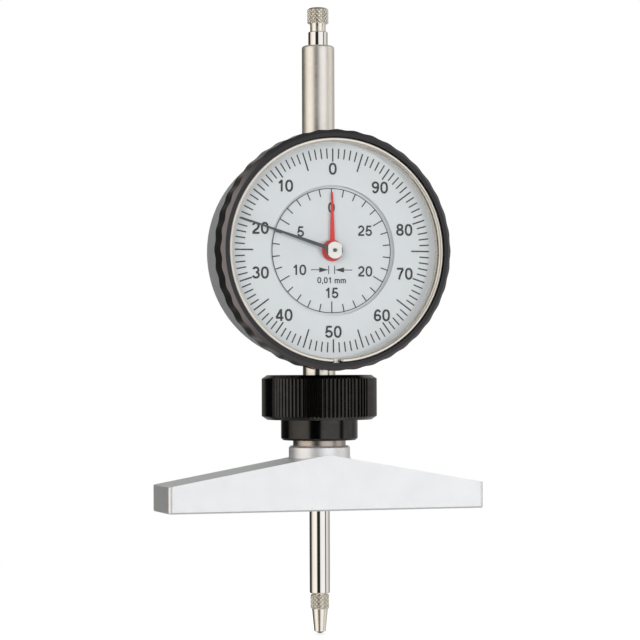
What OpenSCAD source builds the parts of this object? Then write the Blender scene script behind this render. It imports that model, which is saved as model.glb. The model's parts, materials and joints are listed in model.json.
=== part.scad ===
// Dial depth gauge: a 0.01 mm dial gauge with a 30 mm spindle travel, clamped in a steel bridge.
// Origin: centre of the bridge's lapped measuring face, on the spindle axis. +Z up, dial faces -Y.

/* [Bridge] */
// Length of the bridge along X
bridge_l = 80; // [60:1:110]
// Depth of the bridge along Y
bridge_w = 16; // [15.5:0.5:20]
// Height of the bridge at its two ends
bridge_end_h = 6.4; // [4.5:0.1:7]
// Height where the sloping tops pass into the rounded ridge
ridge_shoulder_h = 13.3; // [12.4:0.1:13.4]
// Distance of that place from the spindle axis
ridge_shoulder_x = 1.6; // [1.5:0.1:6]
// Radius of the upright corners
bridge_corner_r = 1; // [0.4:0.1:2]
// Chamfer round the measuring face
face_chamfer = 0.4; // [0.2:0.1:0.8]
// Diameter of the round boss on top
boss_d = 15; // [14.4:0.1:15.4]
// Height of the boss above the measuring face
boss_h = 15.6; // [14.8:0.1:17]
// Fillet at the foot of the boss
boss_fillet = 1; // [0.5:0.1:1.5]
// Hole in the measuring face for the spindle
face_hole_d = 6; // [5.6:0.1:7]
// Thickness of the floor under the clamp bush
bush_floor = 4; // [3:0.5:6]

/* [Clamp] */
// Diameter of the bush's shank in the bridge
shank_d = 11; // [10.4:0.1:12]
// Diameter of the bush's steel flange
flange_d = 12.9; // [12.4:0.1:14]
// Thickness of that flange
flange_t = 1.3; // [1:0.1:2.5]
// Outer diameter of the bush's thread
thread_d = 12; // [11.6:0.1:12.4]
// Bore of the bush below its cone
bush_bore_d = 9.2; // [9.1:0.05:9.6]
// Diameter of the bush's cone at its mouth
cone_mouth_d = 10.8; // [10.4:0.1:11]
// Length of the cone
cone_l = 6; // [4:0.5:7]
// Height of the threaded body above the flange
thread_l = 9.2; // [8:0.1:10]
// Width of the slit in the collet
slit_w = 0.8; // [0.4:0.1:1.5]
// Height of the collet's rim above the bush
rim_h = 2.3; // [1.6:0.1:2.8]
// Diameter of the nut's smooth collar
collar_d = 18.8; // [17:0.1:21]
// Height of that collar
collar_h = 5; // [3:0.1:7]
// Diameter of the nut's knurled grip
grip_d = 28.2; // [24:0.1:34]
// Height of the grip
grip_h = 10.9; // [10:0.1:14]
// Number of teeth round the grip
grip_teeth = 88; // [40:1:100]
// Depth of the grip's teeth
grip_tooth_h = 0.5; // [0.2:0.05:0.6]
// Width and height of the chamfer at both ends of the grip
grip_chamfer = 1.3; // [0.8:0.1:1.8]
grip_chamfer_h = 0.9; // [0.6:0.1:1.8]

/* [Head] */
// Gap between the nut and the bezel
head_gap = 1; // [0.5:0.1:6]
// Diameter of the stem and of the guard tube
stem_d = 8; // [7.8:0.1:8.2]
// Depth of the stem's foot below the boss top
stem_foot = 1; // [0:0.1:2]
// Bore of the stem and the guard tube
tube_bore_d = 6.2; // [5.8:0.1:6.6]
// Height of the guard tube above the case
tube_l = 24.2; // [22:0.1:32]
// Rounding at the guard tube's top
tube_round = 0.7; // [0.3:0.1:0.9]
// Step from the bezel's lobes down to the case
case_step = 2.5; // [2.3:0.05:2.7]
// Wall of the case
case_wall = 2; // [1.6:0.1:2.2]
// Distance from the spindle axis back to the case's rear edge
case_back = 6; // [5.9:0.1:8]
// Thickness of the back cover
cover_t = 1.5; // [1.2:0.1:2]
// Rise of the case's inner bosses
seat_rise = 1.6; // [1:0.1:2]

/* [Bezel] */
// Diameter of the bezel over its lobes
bezel_d = 58; // [56.5:0.1:64]
// Distance from the bezel's front to the spindle axis
bezel_to_axis = 15.5; // [15:0.1:17]
// Depth of the bezel along Y
bezel_t = 6.5; // [5.8:0.1:6.8]
// Number of lobes round the bezel
bezel_lobes = 40; // [20:1:60]
// Height of the lobes
lobe_h = 0.24; // [0.1:0.02:0.5]
// Chamfer at the bezel's front edge
bezel_chamfer = 0.95; // [0.4:0.05:1.1]
// Width of the bezel's rim round the crystal, from the lobes inwards
rim_w = 1.9; // [1.8:0.05:2.1]
// Thickness of the crystal
crystal_t = 0.7; // [0.5:0.05:0.9]
// Wire of the split retaining ring
ring_wire_d = 1.2; // [0.9:0.05:1.3]
// Depth of that ring behind the bezel's front
ring_recess = 0.45; // [0.1:0.05:0.5]
// Gap in the retaining ring, at the bottom
ring_gap = 1.5; // [1:0.1:3]
// Width of the spacer ring between dial and crystal
spacer_w = 0.9; // [0.6:0.1:1.2]
// Distance from the bezel's front to the outer dial
dial_depth = 4.2; // [4.1:0.1:4.3]
// Thickness of the dials
dial_t = 0.4; // [0.3:0.1:0.5]
// How far the inner dial reaches under the outer one
dial_overlap = 0.8; // [0.4:0.1:1.2]
// Width of the pointer at its hub and at its tip
pointer_w = 1; // [0.8:0.1:1.6]
pointer_tip_w = 0.25; // [0.2:0.05:0.4]
// Width of the counter's hand at its hub and at its tip
hand_w = 1.35; // [1:0.05:1.8]
hand_tip_w = 0.35; // [0.25:0.05:0.5]

/* [Spindle] */
// Diameter of the spindle
spindle_d = 5; // [4.8:0.1:5.2]
// Diameter of its upper end
upper_d = 4.8; // [4.4:0.1:4.9]
// Measuring range, the spindle's travel in use
measuring_range = 30; // [30:1:30]
// Travel beyond the range, with the point at rest
overtravel = 0.2; // [0.1:0.1:0.5]
// Running clearance of shafts and guides, on the radius
run = 0.03; // [0.02:0.01:0.06]
// Length of the contact point below the spindle's end
point_l = 9.8; // [9:0.1:12]
// Diameter and length of its knurled collar
point_collar_d = 4.6; // [4.2:0.1:5]
point_collar_l = 3.5; // [2.5:0.1:4]
// Diameters of its cone, at the top and at the ball
point_cone_d1 = 3.9; // [3.4:0.1:4.2]
point_cone_d2 = 2.8; // [2.7:0.1:3.2]
// Diameter of the contact ball
ball_d = 2.6; // [2.4:0.1:2.6]
// Length of the spindle above the guard tube
spindle_proud = 3.5; // [2:0.1:6]
// Diameter and length of the lifting cap's neck
cap_neck_d = 3.8; // [3.4:0.1:4.2]
cap_neck_l = 2; // [1:0.1:3]
// Diameter and length of the lifting cap
cap_d = 5.2; // [4.8:0.1:7]
cap_l = 3.9; // [3:0.1:6]
// Diameter of the pin that keeps the spindle from turning
guide_pin_d = 1.6; // [1.2:0.1:1.8]

/* [Movement] */
// Pitch of the rack's teeth
rack_pitch = 0.625; // [0.6:0.005:0.63]
// Teeth of the rack pinion, one turn for ten millimetres
rack_pinion_z = 16; // [16:1:16]
// Teeth of the main gear and of the take-up wheel
main_z = 100; // [100:1:100]
// Teeth of the centre pinion
centre_z = 10; // [10:1:10]
// Teeth of the counter pinion
counter_pinion_z = 18; // [18:1:18]
// Teeth of the counter wheel, one turn for thirty millimetres
counter_z = 54; // [54:1:54]
// Module of the main gear
gear_m = 0.2; // [0.19:0.002:0.2]
// Thickness of the wheels
wheel_t = 0.5; // [0.4:0.05:0.55]
// Thickness of the movement's plates
plate_t = 1; // [0.8:0.1:1.1]
// Diameter of the arbors and of their pivots
arbor_d = 1.6; // [1.4:0.1:1.7]
pivot_d = 0.9; // [0.7:0.1:1]
// Direction of the take-up wheel from the centre, counter-clockwise from +X
take_up_angle = 255; // [250:1:262]

/* [Hidden] */
$fn = 48;

fit = 0.02;        // gap on the radius where one piece is pressed or screwed into another
air = 0.3;         // gap between pieces that must not touch
nut_play = 0.1;    // gap under and inside the clamp nut
case_d = bezel_d - 2 * case_step;
crystal_d = bezel_d - 2 * rim_w;           // also the outer diameter of the dial and the retaining ring

// heights along the spindle axis
flange_top = boss_h + flange_t;
bush_top = flange_top + thread_l;
nut_bottom = flange_top + nut_play;
nut_step = nut_bottom + collar_h;
nut_top = nut_step + grip_h;
collet_top = bush_top + rim_h;
dial_z = nut_top + head_gap + bezel_d / 2;
stem_bottom = boss_h - stem_foot;
tube_top = dial_z + case_d / 2 + tube_l;
travel = measuring_range + overtravel;
spindle_bottom = -travel + point_l;
spindle_top = tube_top + spindle_proud;

// places along Y, from the bezel's front to the back cover
front_y = -bezel_to_axis;
bezel_back_y = front_y + bezel_t;
ring_y = front_y + ring_recess + ring_wire_d / 2;
crystal_y = ring_y + ring_wire_d / 2;
dial_y = front_y + dial_depth;
neck_y = dial_y + dial_t + air;
shoulder_y = bezel_back_y + air;
inner_dial_y = dial_y + dial_t + 0.75;
front_plate_y = inner_dial_y + dial_t;
pinion_half_w = 1.6;                       // half the face width of the rack pinion
rail_y0 = -2.6;
rear_plate_y = 3.6;
bridge_plate_y = -3.9;
counter_wheel_y = front_plate_y + plate_t + 0.55;
main_gear_y = counter_wheel_y + 2;
take_up_y = main_gear_y + 0.8;
hairspring_y = take_up_y + wheel_t + 0.15;
hand_y = dial_y + 0.4;
blade_t = 0.25;                            // thickness of the two hands
cap_t = 0.3;                               // thickness of the pointer's cap
pointer_y = crystal_y + crystal_t + 0.2 + cap_t;

// radii of the head
case_r = case_d / 2;
case_in_r = case_r - case_wall;
seat_z1 = dial_z - case_in_r + seat_rise;
seat_z2 = dial_z + case_in_r - seat_rise;
seat_lip = 2;                              // metal round the stem's and the guard tube's holes
seat_d = stem_d + 2 * seat_lip;
collar_t = 1.3;                            // collars of the stem and the guard tube inside the case
collar_r = stem_d / 2 + 1.2;
neck_r = case_r - 0.25;
bezel_bore_r = neck_r + 0.1;
crystal_r = crystal_d / 2;
ring_bite = 0.1;                           // how far the retaining ring reaches into its groove
ring_r = crystal_r + ring_bite - ring_wire_d / 2;
snap_wire_r = 0.28;
snap_y = neck_y + 0.5;
lug_r = 2.3;
lug_at = case_in_r - 1.9;
plate_r = case_in_r - 0.25;
rear_plate_r = lug_at - lug_r - 0.4;

// gear train: rack pinion and main gear on one arbor, centre pinion and counter wheel on the dial's axis
rack_m = rack_pitch / PI;
rack_pinion_r = rack_m * rack_pinion_z / 2;
rack_face_x = -0.92 * spindle_d / 2;       // flat on the spindle that the rack's teeth end at
rack_line_x = rack_face_x + 0.9 * rack_m;
arbor_x = rack_line_x - rack_pinion_r;
centre_distance = gear_m * (main_z + centre_z) / 2;
arbor_z = dial_z + sqrt(centre_distance * centre_distance - arbor_x * arbor_x);
counter_m = 2 * centre_distance / (counter_pinion_z + counter_z);
take_up_x = centre_distance * cos(take_up_angle);
take_up_z = dial_z + centre_distance * sin(take_up_angle);

// directions of the lines of centres, and the angle at which each gear has a tooth at rest
main_to_centre = atan2(dial_z - arbor_z, -arbor_x);
rack_pinion_phase = 180 / rack_pinion_z;
main_phase = main_to_centre;
centre_phase = mesh_phase(main_phase, main_to_centre, main_z, centre_z);
counter_pinion_phase = main_to_centre;
counter_phase = mesh_phase(counter_pinion_phase, main_to_centre, counter_pinion_z, counter_z);
take_up_phase = mesh_phase(centre_phase, take_up_angle, centre_z, main_z);

// rack, guide pin and spring
rack_top = arbor_z + 2;
rack_teeth = ceil((travel + 4) / rack_pitch);
upper_z = rack_top + 2.3;
pin_lift = 10.8;                           // height of the guide pin above the stem's collar at rest
pin_z = seat_z1 + collar_t + pin_lift;
rail_x0 = spindle_d / 2 + 0.7;
rail_x1 = rail_x0 + 3.4;
rail_top = seat_z2 - collar_t - 0.9;
slot_floor = pin_z - guide_pin_d / 2 - run;
spring_x = rail_x1 + 2.6;
post_z = seat_z1 + collar_t + 2;
spring_r = 1.5;
spring_wire_r = 0.2;
hook_r = 1.15;
pin_tip_x = spring_x + 1;

// hands: the pointer reads the overtravel, and the counter's hand is set to zero with the point at rest
pointer_angle = 90 + 360 * overtravel;
counter_angle = 90;
pointer_gap = 2.5;                         // from the pointer's tip to the retaining ring's groove
pointer_l = crystal_r - pointer_gap;
counter_hand_gap = 1.6;                    // from the hand's tip to the rim of the outer dial's opening
hub_r = 2.05;                              // hub of the pointer
hand_hub_r = 2.6;                          // hub of the counter's hand
counter_tube_d = 2;

// places that screws and pillars take round the dial's axis
pillar_at = rear_plate_r - 1.9;
pillar_head_d = 2.2;
inner_dial_r = pillar_at - pillar_head_d / 2 - 0.4;
dial_opening_d = 2 * (inner_dial_r - dial_overlap);
counter_hand_l = dial_opening_d / 2 - counter_hand_gap;
pillar_angles = [28, 152, 208, 332];
front_screw_angles = [60, 180, 300];
cover_screw_angles = [45, 135, 225, 315];
post_places = [[-12.5, dial_z + 0.7], [11.5, dial_z - 2.8]];
rail_screw_z = [slot_floor - 1.3, rail_top - 3];
plate_screw_d = 1.4;
cover_screw_d = 1.8;
cover_head_d = 3.4;
cover_head_sink = 0.9;
small_screw_d = 1.2;                       // screws of the pillars, and the posts' rivets
rail_screw_d = 1;
front_lug_l = 4;                           // lugs in the case that take the plate's and the cover's screws
back_lug_l = 5;
pillar_d = 2.6;
post_d = 2.2;
bridge_plate_t = 0.8;
thread_r = 1.25;                           // threads that hold the contact point and the lifting cap
thread_hole_l = 5.2;

// hairspring: inner and outer radius, width, height, and the stud that holds its outer end
hairspring_r = [1.15, 3.75];
hairspring_w = 0.12;
hairspring_h = 0.35;
stud_d = 0.8;
stud_angle = 70;
stud_at = hairspring_r[1] + 0.15;
stud_x = take_up_x + stud_at * cos(stud_angle);
stud_z = take_up_z + stud_at * sin(stud_angle);

// the bridge's sloping tops: their fall for each millimetre, and where the boss's foot meets them
bridge_slope = (ridge_shoulder_h - bridge_end_h) / (bridge_l / 2 - ridge_shoulder_x);
boss_foot_r = boss_d / 2 + boss_fillet;
boss_foot_z = ridge_shoulder_h - bridge_slope * (boss_foot_r - ridge_shoulder_x);

// ---- small helpers ----

// a flat shape drawn with X to the right and Y up, set upright with its front at y and its thickness behind
module upright(y, t) {
    translate([0, y + t, 0]) rotate([90, 0, 0]) linear_extrude(t) children();
}

// a round bar along Y from y0 to y1 at (x, z)
module bar_y(x, z, y0, y1, d) {
    translate([x, y0, z]) rotate([-90, 0, 0]) cylinder(d = d, h = y1 - y0);
}

// a profile of (radius, y) pairs turned round the dial's axis
module turned_y(profile) {
    translate([0, 0, dial_z]) rotate([-90, 0, 0]) rotate_extrude($fn = 96) polygon(profile);
}

// a profile of (radius, z) pairs turned round the spindle axis
module turned_z(profile) {
    rotate_extrude($fn = 72) polygon(profile);
}

// a place round the dial's axis, as x and z
function round_place(r, a) = [r * cos(a), dial_z + r * sin(a)];

// angle of a tooth on the second gear, so that it meshes with a tooth of the first at phase p,
// where a is the direction from the first gear's centre to the second's
function mesh_phase(p, a, z1, z2) = a + 180 - (p - a) * z1 / z2 + 180 / z2;

// outline of a gear with z teeth of module m, one of them centred at the angle phase
function gear_points(z, m, phase, add = 0.85, ded = 1.15, tip = 0.13, root = 0.27) = [
    for (i = [0:z - 1], s = [[-root, -ded], [-tip, add], [tip, add], [root, -ded]])
        let (r = m * (z / 2 + s[1]), a = phase + (i + s[0]) * 360 / z)
            [r * cos(a), r * sin(a)]
];

// a toothed wheel at (x, z) with its front at y and a round hole
module wheel(x, z, y, t, teeth, m, phase, hole_d) {
    translate([x, 0, z]) upright(y, t) difference() {
        polygon(gear_points(teeth, m, phase));
        circle(d = hole_d);
    }
}

// crossings of a wheel: round windows between hub and rim
module windows(x, z, y, t, r, d, n) {
    for (i = [0:n - 1])
        bar_y(x + r * cos(i * 360 / n), z + r * sin(i * 360 / n), y - 1, y + t + 1, d);
}

// a cheese-head screw along +Y: its head ends at y, its shank goes on to y + l
module screw_y(x, z, y, l, head_d, head_h, shank_d) {
    difference() {
        union() {
            bar_y(x, z, y - head_h, y, head_d);
            bar_y(x, z, y - 0.01, y + l, shank_d);
        }
        translate([x - head_d, y - head_h - 1, z - head_d / 12])
            cube([2 * head_d, 1 + head_h / 2, head_d / 6]);
    }
}

// the same, seen from the back
module screw_back(x, z, y, l, head_d, head_h, shank_d) {
    translate([0, 2 * y, 0]) mirror([0, 1, 0]) screw_y(x, z, y, l, head_d, head_h, shank_d);
}

// ---- base ----

module bridge_front_outline() {
    top_z = ridge_shoulder_h + bridge_slope * ridge_shoulder_x;
    steps = 12;
    polygon([
        [-bridge_l / 2 + face_chamfer, 0], [bridge_l / 2 - face_chamfer, 0],
        [bridge_l / 2, face_chamfer], [bridge_l / 2, bridge_end_h],
        for (i = [0:steps])
            let (t = i / steps, s = 1 - t)
                [ridge_shoulder_x * (s * s - t * t), ridge_shoulder_h * (s * s + t * t) + 2 * s * t * top_z],
        [-bridge_l / 2, bridge_end_h], [-bridge_l / 2, face_chamfer]
    ]);
}

module rounded_plan(l, w, r) {
    square([l - 2 * r, w], center = true);
    square([l, w - 2 * r], center = true);
    for (x = [-1, 1], y = [-1, 1])
        translate([x * (l / 2 - r), y * (w / 2 - r)]) circle(r = r);
}

module bridge() {
    r = boss_d / 2;
    edge = 0.4;
    color("gainsboro") difference() {
        union() {
            intersection() {
                upright(-bridge_w / 2, bridge_w) bridge_front_outline();
                rotate([90, 0, 90]) translate([0, 0, -bridge_l / 2]) linear_extrude(bridge_l)
                    polygon([
                        [-bridge_w / 2 + face_chamfer, 0], [bridge_w / 2 - face_chamfer, 0],
                        [bridge_w / 2, face_chamfer], [bridge_w / 2, boss_h],
                        [-bridge_w / 2, boss_h], [-bridge_w / 2, face_chamfer]
                    ]);
                linear_extrude(boss_h) rounded_plan(bridge_l, bridge_w, bridge_corner_r);
            }
            intersection() {
                turned_z([
                    [0, bush_floor], [boss_foot_r, bush_floor],
                    for (i = [0:6])
                        let (a = i * 15)
                            [r + boss_fillet * (1 - sin(a)), boss_foot_z + boss_fillet * (1 - cos(a))],
                    [r, boss_h - edge], [r - edge, boss_h], [0, boss_h]
                ]);
                translate([-boss_d, -bridge_w / 2, 0]) cube([2 * boss_d, bridge_w, boss_h]);
            }
        }
        translate([0, 0, -1]) cylinder(d = face_hole_d, h = boss_h);
        translate([0, 0, bush_floor]) cylinder(d = shank_d + 2 * fit, h = boss_h);
    }
}

module clamp_bush() {
    color("darkgray") difference() {
        union() {
            translate([0, 0, bush_floor]) cylinder(d = shank_d, h = boss_h - bush_floor);
            translate([0, 0, boss_h]) cylinder(d = flange_d, h = flange_t);
            translate([0, 0, flange_top]) cylinder(d = thread_d, h = thread_l);
        }
        translate([0, 0, bush_floor - 1]) cylinder(d = bush_bore_d, h = bush_top);
        translate([0, 0, bush_top - cone_l])
            cylinder(d1 = bush_bore_d, d2 = cone_mouth_d, h = cone_l);
    }
}

module split_collet() {
    gap = 2 * 0.06;
    color("darkgoldenrod") difference() {
        union() {
            translate([0, 0, stem_bottom + air]) cylinder(d = bush_bore_d - gap, h = bush_top - cone_l);
            translate([0, 0, bush_top - cone_l])
                cylinder(d1 = bush_bore_d - gap, d2 = cone_mouth_d - gap, h = cone_l);
            translate([0, 0, bush_top]) cylinder(d = cone_mouth_d - gap, h = rim_h);
        }
        translate([0, 0, collet_top]) cylinder(d = 2 * cone_mouth_d, h = boss_h + cone_l);
        cylinder(d = stem_d + 2 * run, h = collet_top + 1);
        translate([0, -slit_w / 2, 0]) cube([cone_mouth_d, slit_w, collet_top + 1]);
    }
}

module clamp_nut() {
    r = grip_d / 2;
    root_r = r - grip_tooth_h;
    collar_edge = 0.5;
    color([0.08, 0.08, 0.08]) difference() {
        union() {
            intersection() {
                translate([0, 0, nut_step]) linear_extrude(grip_h) polygon([
                    for (i = [0:grip_teeth - 1], s = [[0.02, 0], [0.37, 1], [0.63, 1], [0.98, 0]])
                        let (a = (i + s[0]) * 360 / grip_teeth, q = root_r + s[1] * grip_tooth_h)
                            [q * cos(a), q * sin(a)]
                ]);
                turned_z([
                    [0, nut_step], [r - grip_chamfer, nut_step], [r, nut_step + grip_chamfer_h],
                    [r, nut_top - grip_chamfer_h], [r - grip_chamfer, nut_top], [0, nut_top]
                ]);
            }
            turned_z([
                [0, nut_bottom], [collar_d / 2 - collar_edge, nut_bottom],
                [collar_d / 2, nut_bottom + collar_edge], [collar_d / 2, nut_step + 1], [0, nut_step + 1]
            ]);
        }
        translate([0, 0, nut_bottom - 1])
            cylinder(d = thread_d + 2 * nut_play, h = collet_top + nut_play - nut_bottom + 1);
        cylinder(d = stem_d + 2 * air, h = nut_top + 1);
    }
}

// ---- head: case, tubes and covers ----

module case() {
    color([0.5, 0.5, 0.52]) difference() {
        union() {
            turned_y([
                [case_in_r, neck_y], [neck_r, neck_y], [neck_r, shoulder_y],
                [case_r - 0.2, shoulder_y], [case_r, shoulder_y + 0.2],
                [case_r, case_back], [case_in_r, case_back]
            ]);
            intersection() {
                union() {
                    translate([0, 0, seat_z1 - case_r]) cylinder(d = seat_d, h = case_r);
                    translate([0, 0, seat_z2]) cylinder(d = seat_d, h = case_r);
                }
                bar_y(0, dial_z, -seat_d, seat_d, 2 * case_in_r + 1);
                translate([-seat_d, shoulder_y, 0])
                    cube([2 * seat_d, case_back - shoulder_y, dial_z + case_r]);
            }
            intersection() {
                for (a = front_screw_angles)
                    let (p = round_place(lug_at, a))
                        bar_y(p[0], p[1], front_plate_y + plate_t, front_plate_y + plate_t + front_lug_l,
                              2 * lug_r);
                bar_y(0, dial_z, neck_y, case_back, 2 * case_in_r + 1);
            }
            intersection() {
                for (a = cover_screw_angles)
                    let (p = round_place(lug_at, a))
                        bar_y(p[0], p[1], case_back - back_lug_l, case_back, 2 * lug_r);
                bar_y(0, dial_z, neck_y, case_back, 2 * case_in_r + 1);
            }
        }
        translate([0, 0, dial_z - case_r - 1]) cylinder(d = stem_d + 2 * fit, h = 2 * case_r + 2);
        translate([0, 0, dial_z]) rotate([-90, 0, 0]) rotate_extrude($fn = 96)
            translate([neck_r + 0.02, snap_y]) circle(r = snap_wire_r + 0.02, $fn = 24);
        for (a = front_screw_angles)
            let (p = round_place(lug_at, a))
                bar_y(p[0], p[1], front_plate_y, front_plate_y + plate_t + front_lug_l - 0.5,
                      plate_screw_d + 2 * fit);
        for (a = cover_screw_angles)
            let (p = round_place(lug_at, a))
                bar_y(p[0], p[1], case_back - back_lug_l + 0.5, case_back + 1, cover_screw_d + 2 * fit);
    }
}

module back_cover() {
    edge = 0.6;
    y0 = case_back;
    y1 = case_back + cover_t;
    color([0.5, 0.5, 0.52]) difference() {
        turned_y([[0, y0], [case_r, y0], [case_r, y1 - edge], [case_r - edge, y1], [0, y1]]);
        for (a = cover_screw_angles)
            let (p = round_place(lug_at, a)) {
                bar_y(p[0], p[1], y0 - 1, y1 + 1, cover_screw_d + 2 * fit);
                bar_y(p[0], p[1], y1 - cover_head_sink, y1 + 1, cover_head_d + 2 * fit);
            }
    }
}

module back_cover_screws() {
    y1 = case_back + cover_t;
    color("silver") for (a = cover_screw_angles)
        let (p = round_place(lug_at, a))
            screw_back(p[0], p[1], y1 - cover_head_sink, cover_t - cover_head_sink + back_lug_l - 1,
                       cover_head_d, cover_head_sink - 0.1, cover_screw_d);
}

module stem() {
    color("silver") difference() {
        union() {
            turned_z([
                [0, stem_bottom], [stem_d / 2 - 0.4, stem_bottom], [stem_d / 2, stem_bottom + 0.4],
                [stem_d / 2, seat_z1], [0, seat_z1]
            ]);
            translate([0, 0, seat_z1]) cylinder(r = collar_r, h = collar_t);
        }
        translate([0, 0, stem_bottom - 1]) cylinder(d = tube_bore_d, h = seat_z1 + collar_t);
    }
}

module guard_tube() {
    r = stem_d / 2;
    roof = 0.8;
    color("silver") difference() {
        union() {
            translate([0, 0, seat_z2 - collar_t]) cylinder(r = collar_r, h = collar_t);
            turned_z([
                [0, seat_z2], [r, seat_z2],
                for (i = [0:6])
                    let (a = i * 15) [r - tube_round * (1 - cos(a)), tube_top - tube_round * (1 - sin(a))],
                [0, tube_top]
            ]);
        }
        translate([0, 0, seat_z2 - collar_t - 1])
            cylinder(d = tube_bore_d, h = tube_top - seat_z2 + collar_t + 1 - roof);
        cylinder(d = upper_d + 0.4, h = tube_top + 1);
    }
}

module spindle_bush(z0, z1, bore_d) {
    translate([0, 0, z0]) difference() {
        cylinder(d = tube_bore_d - 2 * fit, h = z1 - z0);
        translate([0, 0, -1]) cylinder(d = bore_d + 2 * run, h = z1 - z0 + 2);
    }
}

module lower_spindle_bush() {
    color("darkgoldenrod") spindle_bush(stem_bottom, stem_bottom + 8, spindle_d);
}

module upper_spindle_bush() {
    color("darkgoldenrod") spindle_bush(tube_top - 5.2, tube_top - 0.8, upper_d);
}

module bezel_snap_ring() {
    half_gap = 6;
    color("silver") translate([0, 0, dial_z]) rotate([-90, 0, 0])
        rotate([0, 0, 90 + half_gap]) rotate_extrude(angle = 360 - 2 * half_gap, $fn = 96)
            translate([neck_r + 0.02, snap_y]) circle(r = snap_wire_r, $fn = 24);
}

// ---- head: plates of the movement ----

module front_plate() {
    color("goldenrod") difference() {
        translate([0, 0, dial_z]) upright(front_plate_y, plate_t) circle(r = plate_r, $fn = 96);
        bar_y(0, dial_z, front_plate_y - 1, front_plate_y + 2 * plate_t, counter_tube_d + 2 * run);
        for (p = [[arbor_x, arbor_z], [take_up_x, take_up_z]])
            bar_y(p[0], p[1], front_plate_y - 1, front_plate_y + 2 * plate_t, pivot_d + 2 * run);
        for (a = front_screw_angles)
            let (p = round_place(lug_at, a))
                bar_y(p[0], p[1], front_plate_y - 1, front_plate_y + 2 * plate_t, plate_screw_d + 2 * fit);
        for (a = pillar_angles)
            let (p = round_place(pillar_at, a))
                bar_y(p[0], p[1], front_plate_y - 1, front_plate_y + 2 * plate_t, small_screw_d + 2 * fit);
        for (p = post_places)
            bar_y(p[0], p[1], front_plate_y - 1, front_plate_y + 2 * plate_t, small_screw_d + 2 * fit);
    }
}

module front_plate_screws() {
    color("silver") for (a = front_screw_angles)
        let (p = round_place(lug_at, a))
            screw_y(p[0], p[1], front_plate_y, plate_t + front_lug_l - 1, 2.6, 0.45, plate_screw_d);
}

module pillars() {
    y0 = front_plate_y + plate_t;
    color("goldenrod") for (a = pillar_angles)
        let (p = round_place(pillar_at, a)) difference() {
            bar_y(p[0], p[1], y0, rear_plate_y, pillar_d);
            bar_y(p[0], p[1], rear_plate_y - 3, rear_plate_y + 1, small_screw_d + 2 * fit);
            bar_y(p[0], p[1], y0 - 1, y0 + 3, small_screw_d + 2 * fit);
        }
}

module pillar_screws() {
    color("silver") for (a = pillar_angles)
        let (p = round_place(pillar_at, a)) {
            screw_y(p[0], p[1], front_plate_y, plate_t + 2.6, pillar_head_d, 0.3, small_screw_d);
            screw_back(p[0], p[1], rear_plate_y + plate_t, plate_t + 2.6, 2.4, 0.7, small_screw_d);
        }
}

module rear_plate() {
    color("goldenrod") difference() {
        translate([0, 0, dial_z]) upright(rear_plate_y, plate_t) circle(r = rear_plate_r, $fn = 96);
        bar_y(arbor_x, arbor_z, rear_plate_y - 1, rear_plate_y + 2 * plate_t, pivot_d + 2 * run);
        for (a = pillar_angles)
            let (p = round_place(pillar_at, a))
                bar_y(p[0], p[1], rear_plate_y - 1, rear_plate_y + 2 * plate_t, small_screw_d + 2 * fit);
        bar_y(spring_x, post_z, rear_plate_y - 1, rear_plate_y + 2 * plate_t, guide_pin_d + 2 * fit);
        for (z = rail_screw_z)
            bar_y((rail_x0 + rail_x1) / 2, z, rear_plate_y - 1, rear_plate_y + 2 * plate_t,
                  rail_screw_d + 2 * fit);
    }
}

// a flat arm between two places, with a round eye at each end
module arm(p, q, w) {
    d = q - p;
    eye = w + 0.8;
    translate(p) circle(d = eye);
    translate(q) circle(d = eye);
    translate(p) rotate(atan2(d[1], d[0])) translate([0, -w / 2]) square([norm(d), w]);
}

module arbor_bridge() {
    centre = [0, dial_z];
    arm_w = 2.8;
    y0 = bridge_plate_y - 1;
    y1 = bridge_plate_y + bridge_plate_t + 1;
    color("goldenrod") difference() {
        upright(bridge_plate_y, bridge_plate_t) {
            arm(post_places[0], centre, arm_w);
            arm(centre, post_places[1], arm_w);
            arm(centre, [take_up_x, take_up_z], arm_w);
        }
        for (p = [centre, [take_up_x, take_up_z]]) bar_y(p[0], p[1], y0, y1, pivot_d + 2 * run);
        for (p = post_places) bar_y(p[0], p[1], y0, y1, small_screw_d + 2 * fit);
        bar_y(stud_x, stud_z, y0, y1, stud_d + 2 * fit);
    }
}

module arbor_bridge_posts() {
    y0 = front_plate_y + plate_t;
    color("silver") for (p = post_places) {
        bar_y(p[0], p[1], y0, bridge_plate_y, post_d);
        bar_y(p[0], p[1], y0 - plate_t, y0 + 0.1, small_screw_d);
        bar_y(p[0], p[1], bridge_plate_y - 0.1, bridge_plate_y + bridge_plate_t, small_screw_d);
    }
}

module guide_rail() {
    mid = (rail_x0 + rail_x1) / 2;
    slot = guide_pin_d + 2 * run;
    foot = 3.2;
    color("lightslategray") difference() {
        translate([rail_x0, rail_y0, slot_floor - foot])
            cube([rail_x1 - rail_x0, rear_plate_y - rail_y0, rail_top - slot_floor + foot]);
        translate([rail_x0 - 1, -slot / 2, slot_floor])
            cube([rail_x1 - rail_x0 + 2, slot, rail_top - slot_floor + 1]);
        for (z = rail_screw_z)
            bar_y(mid, z, rear_plate_y - 2.4, rear_plate_y + 1, rail_screw_d + 2 * fit);
    }
}

module guide_rail_screws() {
    color("silver") for (z = rail_screw_z)
        screw_back((rail_x0 + rail_x1) / 2, z, rear_plate_y + plate_t, plate_t + 2, 2, 0.7, rail_screw_d);
}

module spring_post() {
    color("silver") bar_y(spring_x, post_z, -1.6, rear_plate_y + plate_t, guide_pin_d);
}

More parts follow.
